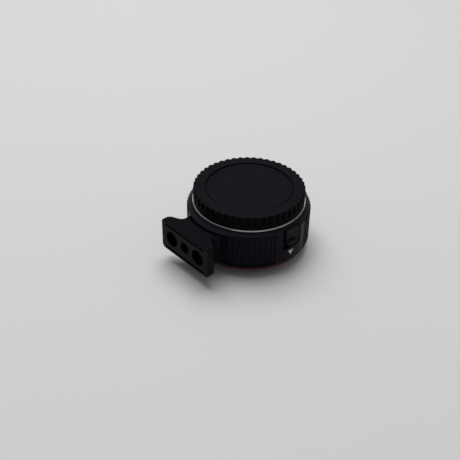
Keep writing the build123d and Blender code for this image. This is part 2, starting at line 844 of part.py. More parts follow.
# Circuit board
with BuildPart() as circuit_board:
    with BuildSketch(Plane.XY.offset(board_bottom)):
        add(ring_sector(board_inner, board_outer, contact_angle, board_width))
        for angle in board_screw_angles:
            with PolarLocations(board_screw_circle, 1, angle):
                Circle(board_screw_radius + screw_gap, mode=Mode.SUBTRACT)
    extrude(amount=board_thickness)
circuit_board.part.label = "circuit_board"
export_step(circuit_board.part, "parts/circuit_board.step")

# Control chip under the board
with BuildPart() as control_chip:
    with BuildSketch(level_plane(chip_angle, board_bottom)):
        with Locations((component_circle, 0)):
            Rectangle(chip_size, chip_length)
    extrude(amount=-chip_height)
control_chip.part.label = "control_chip"
export_step(control_chip.part, "parts/control_chip.step")

# Capacitors, regulator and ribbon connector under the board
with BuildPart() as board_components:
    for angle in capacitor_angles:
        with BuildSketch(level_plane(angle, board_bottom)):
            with Locations((component_circle, 0)):
                Rectangle(capacitor_length, capacitor_width)
        extrude(amount=-capacitor_height)
    with BuildSketch(level_plane(regulator_angle, board_bottom)):
        with Locations((component_circle, 0)):
            Rectangle(regulator_length, regulator_width)
    extrude(amount=-regulator_height)
    with BuildSketch(level_plane(contact_angle, board_bottom)):
        with Locations((rear_flex_end, 0)):
            Rectangle(connector_width, connector_length, align=(Align.MIN, Align.CENTER))
    extrude(amount=-connector_height)
board_components.part.label = "board_components"
export_step(board_components.part, "parts/board_components.step")

# Pan head screws that hold the board to the frame's bosses
with BuildPart() as board_screws:
    for angle in board_screw_angles:
        with BuildSketch(level_plane(angle, board_bottom)):
            with Locations((board_screw_circle, 0)):
                Circle(board_screw_head_radius)
        extrude(amount=-board_screw_head)
        with BuildSketch(level_plane(angle, board_bottom)):
            with Locations((board_screw_circle, 0)):
                Circle(board_screw_radius)
        extrude(amount=board_thickness + board_screw_grip)
board_screws.part.label = "board_screws"
export_step(board_screws.part, "parts/board_screws.step")

# Folded ribbon from the board down to the rear contacts
with BuildPart() as rear_flex:
    flex_top = board_bottom - flex_thickness / 2
    flex_low = rear_plate_top + rear_flex_lift + flex_thickness / 2
    with BuildSketch(Plane.YZ):
        with BuildLine():
            fold = FilletPolyline(
                (-rear_flex_end, flex_top),
                (-rear_flex_outer, flex_top),
                (-rear_flex_outer, flex_low),
                (-rear_flex_inner, flex_low),
                (-rear_flex_inner, rear_ledge_bottom),
                radius=rear_flex_bend,
            )
        trace(fold, line_width=flex_thickness)
    extrude(amount=rear_flex_width / 2, both=True)
rear_flex.part.label = "rear_flex"
export_step(rear_flex.part, "parts/rear_flex.step")

# Rear bayonet plate: flange, spigot with three tabs, ledge for the contacts and lock notch
with BuildPart() as rear_bayonet_plate:
    plate_step = barrel_bore - seat_gap
    with BuildSketch(Plane.XZ):
        with BuildLine():
            Polyline(
                (spigot_bore, 0),
                (spigot_radius - spigot_chamfer, 0),
                (spigot_radius, spigot_chamfer),
                (spigot_radius, rear_flange),
                (rear_rim_radius, rear_flange),
                (rear_rim_radius, rear_flange + rear_rim_thickness),
                (plate_step, rear_flange + rear_rim_thickness),
                (plate_step, rear_plate_top),
                (spigot_bore, rear_plate_top),
                close=True,
            )
        make_face()
    revolve(axis=Axis.Z)
    spigot_middle = (spigot_bore + spigot_radius) / 2
    with BuildSketch(Plane.XY.offset(rear_tab_bottom)):
        for angle in spread(rear_tab_angle, 360 / rear_tab_count, rear_tab_count):
            add(ring_sector(spigot_middle, rear_tab_radius, angle, rear_tab_width))
    extrude(amount=rear_tab_thickness)
    with BuildSketch(Plane.XY.offset(rear_ledge_bottom)):
        add(ring_sector(rear_ledge_inner, spigot_middle, contact_angle, rear_ledge_width))
    extrude(amount=rear_ledge_thickness)
    with BuildSketch(level_plane(contact_angle, rear_ledge_bottom)):
        with Locations((rear_flex_inner, 0)):
            Rectangle(flex_thickness + 2 * seat_gap, rear_flex_width + 4 * seat_gap)
    extrude(amount=rear_ledge_thickness, mode=Mode.SUBTRACT)
    with BuildSketch(level_plane(lock_notch_angle, rear_flange)):
        with Locations((lock_notch_circle, 0)):
            SlotOverall(lock_notch_length, lock_notch_width)
    extrude(amount=lock_notch_depth, mode=Mode.SUBTRACT)
    with Locations(rear_face):
        with PolarLocations(rear_screw_circle, rear_screw_count, rear_screw_angle):
            add(countersunk_screw(rear_screw, screw_gap), mode=Mode.SUBTRACT)
    with BuildSketch(Plane.XY.offset(rear_ledge_bottom)):
        for angle in rear_contact_screw_angles:
            with PolarLocations(rear_contact_circle, 1, angle):
                Circle(block_screw_shank + screw_gap)
    extrude(amount=rear_ledge_thickness, mode=Mode.SUBTRACT)
rear_bayonet_plate.part.label = "rear_bayonet_plate"
export_step(rear_bayonet_plate.part, "parts/rear_bayonet_plate.step")

# Screws of the rear plate
with BuildPart(rear_face) as rear_plate_screws:
    with PolarLocations(rear_screw_circle, rear_screw_count, rear_screw_angle):
        add(countersunk_screw(rear_screw))
rear_plate_screws.part.label = "rear_plate_screws"
export_step(rear_plate_screws.part, "parts/rear_plate_screws.step")

# Red accent ring, with a thin lip under the rear plate's rim
with BuildPart() as accent_ring:
    accent_bottom = barrel_bottom - accent_lip - accent_drop
    with BuildSketch(Plane.XZ):
        with BuildLine():
            Polyline(
                (barrel_bore + seat_gap, barrel_bottom - accent_lip),
                (rear_rim_radius + seat_gap, barrel_bottom - accent_lip),
                (rear_rim_radius + seat_gap, accent_bottom),
                (accent_radius, accent_bottom),
                (accent_radius, barrel_bottom),
                (barrel_bore + seat_gap, barrel_bottom),
                close=True,
            )
        make_face()
    revolve(axis=Axis.Z)
accent_ring.part.label = "accent_ring"
export_step(accent_ring.part, "parts/accent_ring.step")

# Rear contact block under the plate's ledge, with pockets for the flat contacts
rear_contact_angles = spread(contact_angle, rear_contact_pitch, rear_contact_count)
rear_block_face = Plane(origin=(0, 0, rear_block_bottom), x_dir=(1, 0, 0), z_dir=(0, 0, -1))
rear_contact_base = rear_block_bottom + rear_contact_thickness - rear_contact_proud
with BuildPart() as rear_contact_block:
    with BuildSketch(Plane.XY.offset(rear_block_bottom)):
        add(ring_sector(rear_block_inner, rear_block_outer, contact_angle, rear_block_width))
    extrude(amount=rear_ledge_bottom - rear_block_bottom)
    with BuildSketch(Plane.XY.offset(rear_contact_base)):
        for angle in rear_contact_angles:
            with PolarLocations(rear_contact_circle, 1, angle):
                Rectangle(rear_contact_length + 2 * press_gap, rear_contact_width + 2 * press_gap)
    extrude(amount=-rear_contact_thickness, mode=Mode.SUBTRACT)
    with Locations(rear_block_face):
        for angle in rear_contact_screw_angles:
            with PolarLocations(rear_contact_circle, 1, -angle):
                add(countersunk_screw(rear_block_screw, screw_gap), mode=Mode.SUBTRACT)
rear_contact_block.part.label = "rear_contact_block"
export_step(rear_contact_block.part, "parts/rear_contact_block.step")

# Flat gold contacts that meet the camera's pins
with BuildPart() as rear_contacts:
    with BuildSketch(Plane.XY.offset(rear_contact_base)):
        for angle in rear_contact_angles:
            with PolarLocations(rear_contact_circle, 1, angle):
                Rectangle(rear_contact_length, rear_contact_width)
    extrude(amount=-rear_contact_thickness)
rear_contacts.part.label = "rear_contacts"
export_step(rear_contacts.part, "parts/rear_contacts.step")

# Screws of the rear contact block
with BuildPart(rear_block_face) as rear_contact_screws:
    for angle in rear_contact_screw_angles:
        with PolarLocations(rear_contact_circle, 1, -angle):
            add(countersunk_screw(rear_block_screw))
rear_contact_screws.part.label = "rear_contact_screws"
export_step(rear_contact_screws.part, "parts/rear_contact_screws.step")

# Tripod foot: flat plate that sweeps into a rounded neck, hollowed to seat on the barrel
with BuildPart() as tripod_foot:
    foot_back = foot_reach - foot_plate
    with BuildSketch(radial_plane(foot_angle, foot_back, foot_centre)):
        add(foot_section(foot_width, foot_top_corner, foot_bottom_corner))
    extrude(amount=foot_plate)
    outer_face = tripod_foot.faces().sort_by(Axis((0, 0, 0), (0, -1, 0)))[-1]
    fillet(outer_face.edges(), radius=foot_edge)
    # The sweep from plate to neck follows half a cosine wave
    for step in range(foot_sweep_steps + 1):
        share = (1 + cos(pi * step / foot_sweep_steps)) / 2
        distance = foot_back - foot_sweep * step / foot_sweep_steps
        with BuildSketch(radial_plane(foot_angle, distance, foot_centre)):
            add(
                foot_section(
                    neck_width + (foot_width - neck_width) * share,
                    neck_corner + (foot_top_corner - neck_corner) * share,
                    neck_corner + (foot_bottom_corner - neck_corner) * share,
                )
            )
    with BuildSketch(radial_plane(foot_angle, barrel_radius - root_depth, foot_centre)):
        add(foot_section(root_width, neck_corner, neck_corner))
    loft()
    with BuildSketch(Plane.XY):
        Circle(barrel_radius + foot_seat_gap)
    extrude(amount=front_flange, mode=Mode.SUBTRACT)
    # Two grooves along the face, two counterbored screw holes and the tripod thread
    face_plane = radial_plane(foot_angle, foot_reach, foot_centre)
    with BuildSketch(face_plane):
        with Locations((0, -groove_offset), (0, groove_offset)):
            SlotOverall(groove_length, groove_width)
    extrude(amount=-groove_depth, mode=Mode.SUBTRACT)
    with Locations(face_plane):
        with Locations((-counterbore_spread, 0), (counterbore_spread, 0)):
            CounterBoreHole(foot_screw_radius + 2 * screw_gap, counterbore_radius, counterbore_depth)
    with Locations(face_plane):
        CounterSinkHole(tripod_radius, tripod_radius + tripod_chamfer, tripod_depth)
tripod_foot.part.label = "tripod_foot"
export_step(tripod_foot.part, "parts/tripod_foot.step")

# Socket head screws that hold the foot to the barrel
with BuildPart() as foot_screws:
    head_plane = radial_plane(foot_angle, foot_reach - counterbore_depth, foot_centre)
    with BuildSketch(head_plane):
        with Locations((-counterbore_spread, 0), (counterbore_spread, 0)):
            Circle(foot_screw_head_radius)
    extrude(amount=foot_screw_head)
    with BuildSketch(head_plane):
        with Locations((-counterbore_spread, 0), (counterbore_spread, 0)):
            Circle(foot_screw_radius)
    extrude(amount=-foot_screw_length)
    with BuildSketch(head_plane.offset(foot_screw_head)):
        with Locations((-counterbore_spread, 0), (counterbore_spread, 0)):
            RegularPolygon(foot_screw_hex / 2, 6, major_radius=False)
    extrude(amount=-foot_screw_hex_depth, mode=Mode.SUBTRACT)
foot_screws.part.label = "foot_screws"
export_step(foot_screws.part, "parts/foot_screws.step")
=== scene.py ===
from math import radians

import bpy
import numpy as np
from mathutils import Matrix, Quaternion, Vector


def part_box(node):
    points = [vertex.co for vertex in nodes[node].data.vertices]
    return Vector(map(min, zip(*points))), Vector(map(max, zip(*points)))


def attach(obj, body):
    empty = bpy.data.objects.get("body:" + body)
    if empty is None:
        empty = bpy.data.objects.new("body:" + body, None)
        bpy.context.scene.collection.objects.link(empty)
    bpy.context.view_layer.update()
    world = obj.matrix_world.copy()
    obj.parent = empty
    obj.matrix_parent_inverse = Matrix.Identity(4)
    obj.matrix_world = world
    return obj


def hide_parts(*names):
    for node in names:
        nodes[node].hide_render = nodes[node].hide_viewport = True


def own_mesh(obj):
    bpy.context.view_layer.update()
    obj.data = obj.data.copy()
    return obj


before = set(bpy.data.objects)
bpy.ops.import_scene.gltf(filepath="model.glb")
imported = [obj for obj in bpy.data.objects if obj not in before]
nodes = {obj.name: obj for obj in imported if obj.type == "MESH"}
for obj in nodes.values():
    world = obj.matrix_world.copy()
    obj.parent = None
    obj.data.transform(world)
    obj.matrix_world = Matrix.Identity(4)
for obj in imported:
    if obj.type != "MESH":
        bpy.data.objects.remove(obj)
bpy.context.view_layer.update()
mm = 0.001

# Barrel: the turned aluminium body, blasted to a fine grain and anodised satin black, with rubbed edges.
# Four milled pads with rounded ribs give the grip, and a pocket holds the release slider.
# Its sloping shoulder is painted a shade lighter, a painted highlight for the light it catches, and a printed
# white arrow shows which way the slider is pushed.


def new_finish(name, colour, roughness, metallic=0.0, specular=0.5, tint=(1.0, 1.0, 1.0)):
    """Material with one Principled shader: returns the material, its node tree and the shader."""
    material = bpy.data.materials.new(name)
    material.use_nodes = True
    tree = material.node_tree
    shader = tree.nodes["Principled BSDF"]
    shader.inputs["Base Color"].default_value = (*colour, 1)
    shader.inputs["Roughness"].default_value = roughness
    shader.inputs["Metallic"].default_value = metallic
    shader.inputs["Specular IOR Level"].default_value = specular
    shader.inputs["Specular Tint"].default_value = (*tint, 1)
    return material, tree, shader


def noise_on_object(tree, size, detail=3.0):
    """Noise texture on Object coordinates whose grains measure about the given size in metres."""
    place = tree.nodes.new("ShaderNodeTexCoord")
    noise = tree.nodes.new("ShaderNodeTexNoise")
    noise.inputs["Scale"].default_value = 1 / size
    noise.inputs["Detail"].default_value = detail
    tree.links.new(place.outputs["Object"], noise.inputs["Vector"])
    return noise.outputs["Fac"]


noise_low, noise_high = 0.3, 0.7


def spread_colour(tree, shader, value, dark, light):
    """Base colour that runs from dark to light between the noise's usual lowest and highest values."""
    ramp = tree.nodes.new("ShaderNodeValToRGB")
    ramp.color_ramp.elements[0].position = noise_low
    ramp.color_ramp.elements[0].color = (*dark, 1)
    ramp.color_ramp.elements[1].position = noise_high
    ramp.color_ramp.elements[1].color = (*light, 1)
    tree.links.new(value, ramp.inputs["Fac"])
    tree.links.new(ramp.outputs["Color"], shader.inputs["Base Color"])


def spread_roughness(tree, shader, value, low, high):
    """Roughness that runs from low to high between the noise's usual lowest and highest values."""
    stretch = tree.nodes.new("ShaderNodeMapRange")
    stretch.inputs["From Min"].default_value = noise_low
    stretch.inputs["From Max"].default_value = noise_high
    stretch.inputs["To Min"].default_value = low
    stretch.inputs["To Max"].default_value = high
    tree.links.new(value, stretch.inputs["Value"])
    tree.links.new(stretch.outputs["Result"], shader.inputs["Roughness"])


def bumped(tree, shader, value, height, strength=1.0, edge_round=0.0):
    """Bump of the given height in metres from the value, over edges softened by edge_round metres."""
    bump = tree.nodes.new("ShaderNodeBump")
    bump.inputs["Strength"].default_value = strength
    bump.inputs["Distance"].default_value = height
    tree.links.new(value, bump.inputs["Height"])
    if edge_round:
        soft = tree.nodes.new("ShaderNodeBevel")
        soft.samples = 4
        soft.inputs["Radius"].default_value = edge_round
        tree.links.new(soft.outputs["Normal"], bump.inputs["Normal"])
    tree.links.new(bump.outputs["Normal"], shader.inputs["Normal"])


def recolour(tree, shader, value, colour):
    """Base colour mixed towards another one, as far as the value says."""
    mix = tree.nodes.new("ShaderNodeMix")
    mix.data_type = "RGBA"
    mix.inputs["B"].default_value = (*colour, 1)
    under = shader.inputs["Base Color"].links[0].from_socket
    tree.links.new(value, mix.inputs["Factor"])
    tree.links.new(under, mix.inputs["A"])
    tree.links.new(mix.outputs["Result"], shader.inputs["Base Color"])


def worn_edges(tree, shader, colour, reach):
    """Lighter colour on outer edges, which are where a look into the solid leaves it within reach."""
    unworn, fully_worn = 0.75, 0.35
    depth = tree.nodes.new("ShaderNodeAmbientOcclusion")
    depth.inside = True
    depth.only_local = True
    depth.samples = 6
    depth.inputs["Distance"].default_value = reach
    wear = tree.nodes.new("ShaderNodeMapRange")
    wear.inputs["From Min"].default_value = unworn
    wear.inputs["From Max"].default_value = fully_worn
    tree.links.new(depth.outputs["AO"], wear.inputs["Value"])
    recolour(tree, shader, wear.outputs["Result"], colour)


def satin_black(name, dark, light, specular, rough, worn=(0.012, 0.011, 0.013)):
    """Blasted and anodised metal: fine grain in bump and gloss, a slow drift of colour and rubbed edges."""
    violet_gloss = (1.0, 0.86, 1.28)
    drift, cloud, grain = 14 * mm, 2.2 * mm, 0.25 * mm
    grain_height, edge_round, wear_reach = 0.012 * mm, 0.16 * mm, 0.45 * mm
    material, tree, shader = new_finish(name, dark, rough[0], specular=specular, tint=violet_gloss)
    spread_colour(tree, shader, noise_on_object(tree, drift), dark, light)
    spread_roughness(tree, shader, noise_on_object(tree, cloud), *rough)
    bumped(tree, shader, noise_on_object(tree, grain), grain_height, 0.6, edge_round)
    worn_edges(tree, shader, worn, wear_reach)
    return material


def radius_and_height(tree):
    """Distance from the optical axis and height, both from Object coordinates in metres."""
    place = tree.nodes.new("ShaderNodeTexCoord")
    split = tree.nodes.new("ShaderNodeSeparateXYZ")
    flat = tree.nodes.new("ShaderNodeCombineXYZ")
    radius = tree.nodes.new("ShaderNodeVectorMath")
    radius.operation = "LENGTH"
    tree.links.new(place.outputs["Object"], split.inputs["Vector"])
    tree.links.new(split.outputs["X"], flat.inputs["X"])
    tree.links.new(split.outputs["Y"], flat.inputs["Y"])
    tree.links.new(flat.outputs["Vector"], radius.inputs[0])
    return radius.outputs["Value"], split.outputs["Z"]


def between(tree, value, start, end):
    """Mask from a length in metres: 0 at start and 1 at end, both in millimetres, on a smooth step."""
    ramp = tree.nodes.new("ShaderNodeMapRange")
    ramp.interpolation_type = "SMOOTHSTEP"
    ramp.inputs["From Min"].default_value = start * mm
    ramp.inputs["From Max"].default_value = end * mm
    tree.links.new(value, ramp.inputs["Value"])
    return ramp.outputs["Result"]


def reckon(tree, operation, first, second=0.0):
    """Math node on two values, each a number or a link. The product of two masks holds where both do."""
    node = tree.nodes.new("ShaderNodeMath")
    node.operation = operation
    for socket, value in zip(node.inputs, (first, second)):
        if isinstance(value, float):
            socket.default_value = value
        else:
            tree.links.new(value, socket)
    return node.outputs["Value"]


def dress(material, *names):
    """Gives CAD nodes their finish."""
    for name in names:
        nodes[name].data.materials.clear()
        nodes[name].data.materials.append(material)


barrel_dark, barrel_light = (0.0052, 0.0044, 0.0066), (0.0064, 0.0055, 0.0080)
slope_painted_highlight = (0.0118, 0.0106, 0.0130)
slope_lower_edge = (27.0, 27.2)
slope_inner_edge = (33.7, 34.2)

barrel_black = satin_black("barrel_black", barrel_dark, barrel_light, 0.059, (0.30, 0.38))
tree = barrel_black.node_tree
shader = tree.nodes["Principled BSDF"]
radius, height = radius_and_height(tree)
above_crease = between(tree, height, *slope_lower_edge)
outside_ring = between(tree, radius, *slope_inner_edge)
# Painted highlight: the sloping shoulder above the crease is lifted to a lighter colour.
recolour(tree, shader, reckon(tree, "MULTIPLY", above_crease, outside_ring), slope_painted_highlight)
dress(barrel_black, "barrel")


def quads(rows, columns, closed_rows=False, closed_columns=False, first=0):
    """Faces of a grid of rows x columns points, numbered row by row from first."""
    row = np.arange(rows if closed_rows else rows - 1)
    column = np.arange(columns if closed_columns else columns - 1)
    r, c = (a.ravel() for a in np.meshgrid(row, column, indexing="ij"))
    r_next, c_next = (r + 1) % rows, (c + 1) % columns
    corners = (r * columns + c, r * columns + c_next, r_next * columns + c_next, r_next * columns + c)
    return np.stack(corners, axis=1) + first


def fan(ring, tip):
    """Triangles from each side of a closed ring of points to one tip."""
    return np.stack([ring, np.roll(ring, -1), np.full(len(ring), tip)], axis=1)


def mesh_piece(name, points, fours, threes, material, body, slot, sharp=35):
    """Object at the origin from points in millimetres and faces of four and three, smooth up to an angle."""
    fours, threes = (np.asarray(faces, int) for faces in (fours, threes))
    corners = np.concatenate([fours.ravel(), threes.ravel()])
    starts = np.concatenate([np.arange(len(fours)) * 4, fours.size + np.arange(len(threes)) * 3])
    mesh = bpy.data.meshes.new(name)
    mesh.vertices.add(len(points))
    mesh.vertices.foreach_set("co", (np.asarray(points) * mm).ravel())
    mesh.loops.add(len(corners))
    mesh.loops.foreach_set("vertex_index", corners)
    mesh.polygons.add(len(starts))
    mesh.polygons.foreach_set("loop_start", starts)
    mesh.update(calc_edges=True)
    mesh.validate()
    mesh.shade_smooth()
    mesh.set_sharp_from_angle(angle=radians(sharp))
    mesh.materials.append(material)
    piece = bpy.data.objects.new(name, mesh)
    bpy.context.scene.collection.objects.link(piece)
    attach(piece, body)
    return piece


barrel_radius = 35.7
arrow_angle = -1.0
arrow_width = 4.0
arrow_top = 13.45
arrow_tip = 10.3
arrow_thickness = 0.03


def slab(outer, inner):
    """Closed plate between two grids of points, whose rows run down: both faces, and quads round the rim."""
    rows, columns = outer.shape[:2]
    count = rows * columns
    front = quads(rows, columns)
    back = quads(rows, columns, first=count)
    top, bottom = np.arange(columns), np.arange(columns) + (rows - 1) * columns
    left, right = np.arange(rows) * columns, np.arange(rows) * columns + columns - 1
    rim = np.concatenate([bottom, right[::-1][1:], top[::-1][1:], left[1:-1]])
    rim_next = np.roll(rim, -1)
    sides = np.stack([rim, rim + count, rim_next + count, rim_next], axis=1)
    points = np.concatenate([outer.reshape(-1, 3), inner.reshape(-1, 3)])
    return points, np.concatenate([front[:, ::-1], back, sides]), np.empty((0, 3), int)


def printed_arrow(rows=14, columns=15):
    """Triangle wrapped on the barrel: across it the angle shrinks in step with the height above the tip."""
    down = np.linspace(0, 1, rows)[:, None]
    across = np.linspace(-0.5, 0.5, columns)[None, :]
    tip_share = 0.02
    width = arrow_width * (1 - down * (1 - tip_share))
    angle = radians(arrow_angle) + across * width / barrel_radius
    height = arrow_top + (arrow_tip - arrow_top) * down + 0 * across
    layers = [barrel_radius + arrow_thickness, barrel_radius - arrow_thickness]
    return slab(*[np.stack([r * np.cos(angle), r * np.sin(angle), height], -1) for r in layers])


arrow_white, tree, shader = new_finish("arrow_white", (0.5, 0.49, 0.47), 0.55, specular=0.3)
spread_colour(tree, shader, noise_on_object(tree, 0.5 * mm), (0.47, 0.46, 0.43), (0.70, 0.68, 0.65))
bumped(tree, shader, noise_on_object(tree, 0.12 * mm), 0.006 * mm)
mesh_piece("slide_arrow", *printed_arrow(), arrow_white, "adapter", "barrel")

# Lens alignment dot: red enamel in a shallow pocket of the shoulder.
# It sits at the back, across from the foot.
dot_red, tree, shader = new_finish("dot_red", (0.45, 0.012, 0.012), 0.25)
spread_colour(tree, shader, noise_on_object(tree, 0.8 * mm), (0.38, 0.009, 0.009), (0.48, 0.014, 0.014))
bumped(tree, shader, noise_on_object(tree, 0.6 * mm), 0.01 * mm)
dress(dot_red, "index_dot")

# Rear bayonet plate: turned steel flange and spigot with three tabs that lock into the camera.
# It is bare metal with the fine rings that a lathe leaves, and four screws hold it to the barrel.


def turned_steel(name, colour, rough):
    """Turned metal: one-dimensional noise on radius plus height gives rings round the axis."""
    ring_pitch, ring_depth, cloud = 0.12 * mm, 0.0003 * mm, 6 * mm
    darker = 0.9
    material, tree, shader = new_finish(name, colour, rough[0], metallic=1.0)
    radius, height = radius_and_height(tree)
    lines = tree.nodes.new("ShaderNodeTexNoise")
    lines.noise_dimensions = "1D"
    lines.inputs["Scale"].default_value = 1 / ring_pitch
    lines.inputs["Detail"].default_value = 2.0
    tree.links.new(reckon(tree, "ADD", radius, height), lines.inputs["W"])
    dark = tuple(darker * part for part in colour)
    spread_colour(tree, shader, lines.outputs["Fac"], dark, colour)
    spread_roughness(tree, shader, noise_on_object(tree, cloud), *rough)
    bumped(tree, shader, lines.outputs["Fac"], ring_depth, 0.5)
    return material


plate_steel = turned_steel("plate_steel", (0.56, 0.55, 0.53), (0.26, 0.34))
dress(plate_steel, "rear_bayonet_plate")

# Red accent ring: thin anodised aluminium ring clamped between the plate's rim and the barrel.
# Only its narrow edge shows, as a dark red line round the camera end.
accent_red, tree, shader = new_finish("accent_red", (0.16, 0.006, 0.012), 0.4, metallic=0.35)
spread_colour(tree, shader, noise_on_object(tree, 6 * mm), (0.11, 0.004, 0.009), (0.16, 0.006, 0.012))
bumped(tree, shader, noise_on_object(tree, 0.2 * mm), 0.008 * mm, 0.5, edge_round=0.08 * mm)
dress(accent_red, "accent_ring")

# Front bayonet ring: turned steel ring that the lens seats on, screwed to the barrel's shelf.
# Its polished outer edge shows under the cap as a bright line.
ring_steel = turned_steel("ring_steel", (0.62, 0.60, 0.56), (0.30, 0.34))
dress(ring_steel, "front_bayonet_ring", "retaining_spring")

# Lens release: satin black moulded slider, its carriage, the steel lock pin and the coil spring.
# The slider's ledge takes the thumb, a flap beside its plate closes the pocket, and the pin stands out of
# the front ring. The spring lifts the carriage, and shortens as the slider is pushed down.
# Painted light: the slider's colour is raised well over the barrel's, standing in for light its shaded pocket
# does not get.
slider_dark_painted_lit, slider_light_painted_lit = (0.0120, 0.0114, 0.0132), (0.0138, 0.0132, 0.0152)
slider_black_painted_light = satin_black("slider_black_painted_light", slider_dark_painted_lit, slider_light_painted_lit, 0.034, (0.34, 0.42))
dress(slider_black_painted_light, "release_slider", "lock_carriage")

shield_side = (4.15, 6.6)
shield_height = (27.2, 17.7)
shield_face = (34.9, 34.72)
shield_back = 33.66


def slide_shield(rows=10, columns=8):
    """Flap beside the slider's plate: its face drops in a straight line from plate to pocket end."""
    share = np.linspace(0, 1, columns)[None, :] + np.zeros((rows, 1))
    height = np.linspace(*shield_height, rows)[:, None] + np.zeros((1, columns))
    side = shield_side[0] + (shield_side[1] - shield_side[0]) * share
    face = shield_face[0] + (shield_face[1] - shield_face[0]) * share
    return slab(*[np.stack([x, side, height], -1) for x in (face, np.full_like(face, shield_back))])


mesh_piece("slide_shield", *slide_shield(), slider_black_painted_light, "slider", "slider")
spring_steel = turned_steel("spring_steel", (0.45, 0.45, 0.46), (0.2, 0.3))
dress(spring_steel, "lock_pin")

coil_turns = 7
coil_wire = 0.2
coil_low, coil_high = (np.array(corner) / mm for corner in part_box("lock_spring"))


def lock_coil(steps=24, sides=10):
    """Round wire along a helix: rings of points square to the wire, and a fan of triangles over each end."""
    middle = (coil_low + coil_high) / 2
    radius = (coil_high - coil_low)[0] / 2 - coil_wire
    climb = (coil_high - coil_low)[2] - 2 * coil_wire
    rows = coil_turns * steps + 1
    share = np.linspace(0, 1, rows)[:, None]
    turn = 2 * np.pi * coil_turns * share
    pitch = climb / (2 * np.pi * coil_turns)
    slant = np.hypot(radius, pitch)
    around = np.linspace(0, 2 * np.pi, sides, endpoint=False)[None, :]
    out, rise = coil_wire * np.cos(around), coil_wire * np.sin(around)
    x = middle[0] + (radius + out) * np.cos(turn) + rise * np.sin(turn) * pitch / slant
    y = middle[1] + (radius + out) * np.sin(turn) - rise * np.cos(turn) * pitch / slant
    z = coil_low[2] + coil_wire + climb * share + rise * radius / slant
    points = np.stack([x, y, z], -1)
    tips = points[[0, -1]].mean(axis=1)
    first, last = np.arange(sides), np.arange(sides) + (rows - 1) * sides
    ends = np.concatenate([fan(first, rows * sides), fan(last, rows * sides + 1)[:, ::-1]])
    points = np.concatenate([points.reshape(-1, 3), tips])
    return points, quads(rows, sides, closed_columns=True)[:, ::-1], ends


coil = mesh_piece("lock_coil", *lock_coil(), spring_steel, "adapter", "springs")
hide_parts("lock_spring")
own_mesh(coil)

# Inner frame: matte black moulded baffle that keeps stray light out and carries the contacts.
# Its sleeve is ribbed inside, and blocks for the contacts are moulded in the same black.
baffle_black, tree, shader = new_finish("baffle_black", (0.004, 0.004, 0.0045), 0.8, specular=0.2)
spread_colour(tree, shader, noise_on_object(tree, 4 * mm), (0.003, 0.003, 0.0034), (0.005, 0.005, 0.0056))
bumped(tree, shader, noise_on_object(tree, 0.3 * mm), 0.03 * mm, 0.6)
dress(baffle_black, "inner_frame", "front_contact_block", "rear_contact_block")

sleeve_bore = 20.2
ridge_count = 13
ridge_pitch = 1.2
ridge_reach = 0.5
ridge_start = 7.0
ridge_root = 0.02


def light_ridges(columns=160):
    """Saw teeth round the sleeve: each tooth slopes in over its pitch, then steps back to the bore."""
    step = np.array([0.0, 0.82, 0.9, 0.98])
    rise = np.array([0.06, 1.0, 1.0, 0.06])
    height = (ridge_start + ridge_pitch * (np.arange(ridge_count)[:, None] + step)).ravel()
    radius = np.tile(sleeve_bore - ridge_reach * rise, ridge_count)
    radius = np.concatenate([radius, np.full(2, sleeve_bore + ridge_root)])
    height = np.concatenate([height, [height[-1], height[0]]])
    angle = np.linspace(0, 2 * np.pi, columns, endpoint=False)
    x, y = (radius[:, None] * turn(angle) for turn in (np.cos, np.sin))
    points = np.stack([x, y, height[:, None] + 0 * x], -1).reshape(-1, 3)
    faces = quads(len(radius), columns, closed_rows=True, closed_columns=True)
    return points, faces[:, ::-1], np.empty((0, 3), int)


mesh_piece("light_ridges", *light_ridges(), baffle_black, "adapter", "frame")

# Contacts: gold plated pins towards the lens and flat gold strips towards the camera.
# The pins slide in their block on small springs, and the strips lie flush in theirs.
gold, tree, shader = new_finish("gold", (0.75, 0.50, 0.16), 0.25, metallic=1.0)
spread_roughness(tree, shader, noise_on_object(tree, 0.4 * mm), 0.18, 0.34)
bumped(tree, shader, noise_on_object(tree, 0.15 * mm), 0.003 * mm)
dress(gold, "rear_contacts", *[f"contact_pin_{number}" for number in range(1, 9)])

# Circuit board with its chip and small pieces, and the amber ribbons to the contacts.
# All of it is closed in between the frame, the barrel and the rear plate.


def plain_moulding(name, dark, light, rough):
    """Plain part with a slow drift of colour and a fine moulded grain."""
    material, tree, shader = new_finish(name, dark, rough)
    spread_colour(tree, shader, noise_on_object(tree, 2 * mm), dark, light)
    bumped(tree, shader, noise_on_object(tree, 0.2 * mm), 0.01 * mm, 0.5)
    return material


board_green = plain_moulding("board_green", (0.004, 0.045, 0.018), (0.006, 0.062, 0.024), 0.35)
chip_black = plain_moulding("chip_black", (0.006, 0.006, 0.006), (0.010, 0.010, 0.010), 0.5)
component_tan = plain_moulding("component_tan", (0.24, 0.18, 0.11), (0.32, 0.25, 0.16), 0.45)
ribbon_amber = plain_moulding("ribbon_amber", (0.30, 0.10, 0.010), (0.38, 0.14, 0.016), 0.3)
dress(board_green, "circuit_board")
dress(chip_black, "control_chip")
dress(component_tan, "board_components")
dress(ribbon_amber, "front_flex", "rear_flex")

# Countersunk screws in plain steel, each with a pressed cross recess for the driver.
# Four hold the rear plate to the barrel and two hold the rear contact block to the plate.
screw_steel = turned_steel("screw_steel", (0.42, 0.42, 0.43), (0.25, 0.38))
dress(screw_steel, "front_ring_screws", "board_screws", "front_contact_screws")

screw_head_rim = 0.25


